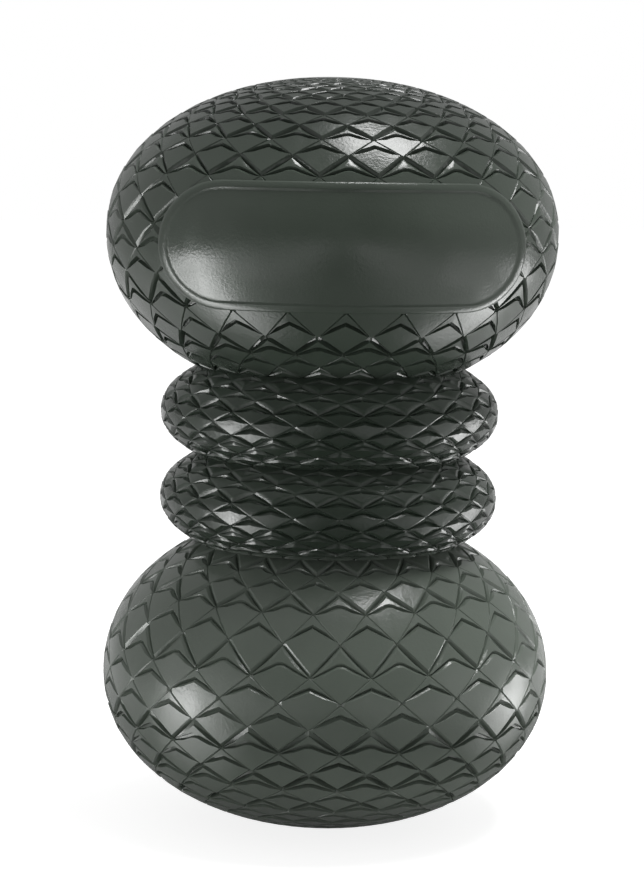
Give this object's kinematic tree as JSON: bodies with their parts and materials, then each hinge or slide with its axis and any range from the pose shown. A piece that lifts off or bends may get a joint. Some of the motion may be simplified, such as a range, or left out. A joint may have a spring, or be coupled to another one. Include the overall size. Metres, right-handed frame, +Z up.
{
  "type": "squeaking rubber chew toy",
  "caption": "Hollow rubber chew toy of two flattened scale-textured balls joined by a flexible ribbed neck, with a squeaker in the lower ball.",
  "frame": {"origin": "centre of the small flat under the lower ball, on which the toy stands", "axes": "+Z up the long axis, from the lower ball to the upper ball; -Y towards the bare raised panel on the upper ball"},
  "size_m": [0.072, 0.0726, 0.1191],
  "materials": {
    "toy_rubber": "gloss",
    "squeaker_plastic": "gloss",
    "reed_film": "gloss"
  },
  "bodies": {
    "lower_end": {"lower_ball": "toy_rubber", "squeaker_barrel": "squeaker_plastic", "reed_block": "squeaker_plastic", "reed_clamp": "squeaker_plastic", "squeaker_cap": "squeaker_plastic"},
    "neck_below": {"lower_rib": "toy_rubber"},
    "neck_above": {"upper_rib": "toy_rubber"},
    "upper_end": {"upper_ball": "toy_rubber"},
    "reed": {"squeaker_reed": "reed_film"}
  },
  "joints": [
    {"name": "lower_neck_bend", "type": "hinge", "parent": "lower_end", "child": "neck_below", "pos_m": [0, 0, 0.0451], "axis": [0, 1, 0], "range_deg": [-12, 12], "stiffness_Nm_per_rad": 2},
    {"name": "neck_squeeze", "type": "slide", "parent": "neck_below", "child": "neck_above", "axis": [0, 0, -1], "range_m": [0, 0.006], "stiffness_N_per_m": 4000, "deforming": ["lower_rib", "upper_rib"]},
    {"name": "upper_neck_bend", "type": "hinge", "parent": "neck_above", "child": "upper_end", "pos_m": [0, 0, 0.0731], "axis": [0, 1, 0], "range_deg": [-12, 12], "stiffness_Nm_per_rad": 2},
    {"name": "reed_flutter", "type": "hinge", "parent": "lower_end", "child": "reed", "pos_m": [0, 0, 0.0046], "axis": [1, 0, 0], "range_deg": [-4, 4], "stiffness_Nm_per_rad": 0.000002}
  ],
  "couplings": [
    {"joint": "upper_neck_bend", "follows": "lower_neck_bend", "ratio": 1}
  ]
}
